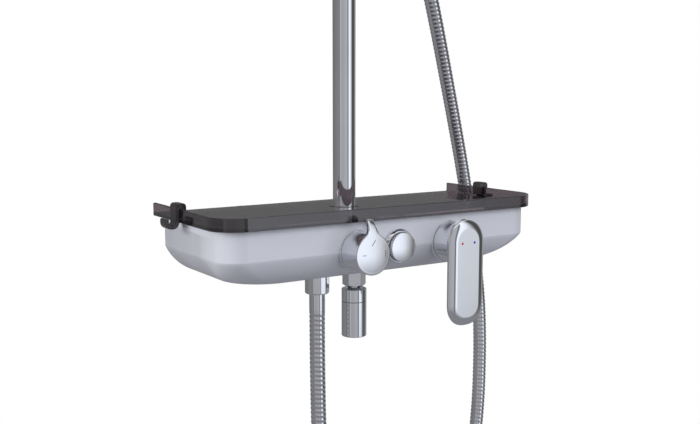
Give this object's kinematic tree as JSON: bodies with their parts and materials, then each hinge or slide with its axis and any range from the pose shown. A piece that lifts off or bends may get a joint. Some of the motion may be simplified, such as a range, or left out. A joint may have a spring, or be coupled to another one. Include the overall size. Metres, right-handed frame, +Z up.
{
  "type": "rainfall shower column",
  "caption": "Wall shower column: mixer under a smoked shelf, swivel spout, riser with sliding hand shower, metal hose and curved arm with a round rain head.",
  "frame": {"origin": "midpoint between the two wall inlets, on the wall plane", "axes": "+X right along the wall, +Y into the wall along the inlet connections, +Z up"},
  "size_m": [0.4068, 0.624, 1.5102],
  "materials": {
    "chrome": "polished chrome",
    "brass": "cast brass",
    "chromed_plastic": "chrome plated moulding",
    "white_plastic": "glossy white moulding",
    "smoked_plastic": "translucent smoked moulding",
    "black_rubber": "matt rubber",
    "grey_plastic": "moulded plastic",
    "ceramic_plastic": "cartridge moulding",
    "steel": "stainless steel",
    "hose_metal": "wound chromed steel",
    "soft_nozzle": "soft silicone"
  },
  "bodies": {
    "root": {"inlet_unions": "chrome", "escutcheons": "chrome", "union_nuts": "chrome", "rubber_seals": "black_rubber", "valve_block": "brass", "body_shell": "white_plastic", "back_plate": "grey_plastic", "cover_screws": "steel", "shelf_tray": "smoked_plastic", "diverter_base": "chrome", "diverter_cartridge": "ceramic_plastic", "button_bezel": "chrome", "button_valve": "ceramic_plastic", "button_spring": "steel", "lever_base": "chrome", "lever_cartridge": "ceramic_plastic", "cartridge_nut": "brass", "spout_adaptor": "chrome", "hose_nut": "chrome", "hose_ferrule": "chrome", "shower_hose": "hose_metal", "riser_pipe": "chrome", "riser_grommet": "black_rubber", "bracket_flange": "steel", "bracket_screws": "steel", "bracket_cover": "chromed_plastic", "bracket_arm": "chrome", "arm_nut": "chrome"},
    "diverter": {"diverter_knob": "chrome"},
    "button": {"button_cap": "chrome"},
    "lever_turn": {"lever_yoke": "chrome", "lift_pin": "steel"},
    "lever": {"lever_handle": "chrome"},
    "spout_ring": {"spout_slip_ring": "grey_plastic"},
    "spout": {"spout_cap": "chrome", "aerator_sleeve": "chrome", "aerator_insert": "grey_plastic"},
    "left_hook": {"hook_left": "smoked_plastic"},
    "right_hook": {"hook_right": "smoked_plastic"},
    "slider": {"slider_body": "chromed_plastic", "slider_bush": "grey_plastic", "shower_hose_tail": "hose_metal"},
    "lock_knob": {"slider_knob": "chromed_plastic"},
    "holder": {"holder_cup": "chromed_plastic", "holder_pin": "steel", "cup_liner": "grey_plastic", "hose_cone": "chromed_plastic", "hose_top_ferrule": "chrome"},
    "handset": {"handset_shell": "chromed_plastic", "handset_face": "white_plastic", "handset_nozzles": "soft_nozzle"},
    "arm": {"arm_pipe": "chrome", "head_adaptor": "chrome"},
    "head_ring": {"head_slip_ring": "grey_plastic"},
    "rain_head": {"head_nut": "chromed_plastic", "head_shell": "chromed_plastic", "head_face": "chromed_plastic", "head_nozzles": "soft_nozzle"}
  },
  "joints": [
    {"name": "diverter_turn", "type": "hinge", "parent": "root", "child": "diverter", "pos_m": [-0.0407, -0.1585, 0], "axis": [0, 1, 0], "range_deg": [-90, 90]},
    {"name": "button_press", "type": "slide", "parent": "root", "child": "button", "axis": [0, 1, 0], "range_m": [0, 0.003], "stiffness_N_per_m": 500, "springref_m": -0.006, "deforming": ["button_spring"]},
    {"name": "lever_swivel", "type": "hinge", "parent": "root", "child": "lever_turn", "pos_m": [0.0623, -0.1585, 0], "axis": [0, 1, 0], "range_deg": [-45, 45]},
    {"name": "lever_lift", "type": "hinge", "parent": "lever_turn", "child": "lever", "pos_m": [0.0623, -0.1655, 0.012], "axis": [-1, 0, 0], "range_deg": [0, 25]},
    {"name": "spout_turn", "type": "hinge", "parent": "root", "child": "spout_ring", "pos_m": [0, -0.093, -0.058], "axis": [0, 0, 1], "continuous": true},
    {"name": "spout_tilt", "type": "hinge", "parent": "spout_ring", "child": "spout", "pos_m": [0, -0.093, -0.058], "axis": [1, 0, 0], "range_deg": [-15, 15]},
    {"name": "left_hook_slide", "type": "slide", "parent": "root", "child": "left_hook", "axis": [0, 1, 0], "range_m": [-0.048, 0.044]},
    {"name": "right_hook_slide", "type": "slide", "parent": "root", "child": "right_hook", "axis": [0, 1, 0], "range_m": [-0.048, 0.03]},
    {"name": "slider_slide", "type": "slide", "parent": "root", "child": "slider", "axis": [0, 0, 1], "range_m": [-0.18, 0.2], "deforming": ["shower_hose"]},
    {"name": "lock_turn", "type": "hinge", "parent": "slider", "child": "lock_knob", "pos_m": [-0.02631, -0.08508, 0.6], "axis": [-0.9397, -0.342, 0], "range_deg": [0, 180]},
    {"name": "holder_tilt", "type": "hinge", "parent": "slider", "child": "holder", "pos_m": [0.01129, -0.10651, 0.6], "axis": [0.9397, 0.342, 0], "range_deg": [-12, 22], "deforming": ["shower_hose_tail"]},
    {"name": "handset_turn", "type": "hinge", "parent": "holder", "child": "handset", "pos_m": [0.02116, -0.13362, 0.59387], "axis": [0.0711, -0.1954, 0.9781], "range_deg": [-90, 90]},
    {"name": "arm_swivel", "type": "hinge", "parent": "root", "child": "arm", "pos_m": [0, -0.0755, 0.93], "axis": [0, 0, 1], "range_deg": [-60, 60]},
    {"name": "head_turn", "type": "hinge", "parent": "arm", "child": "head_ring", "pos_m": [0, -0.48, 0.996], "axis": [0, 0, 1], "continuous": true},
    {"name": "head_tilt", "type": "hinge", "parent": "head_ring", "child": "rain_head", "pos_m": [0, -0.48, 0.996], "axis": [1, 0, 0], "range_deg": [-15, 15]}
  ]
}
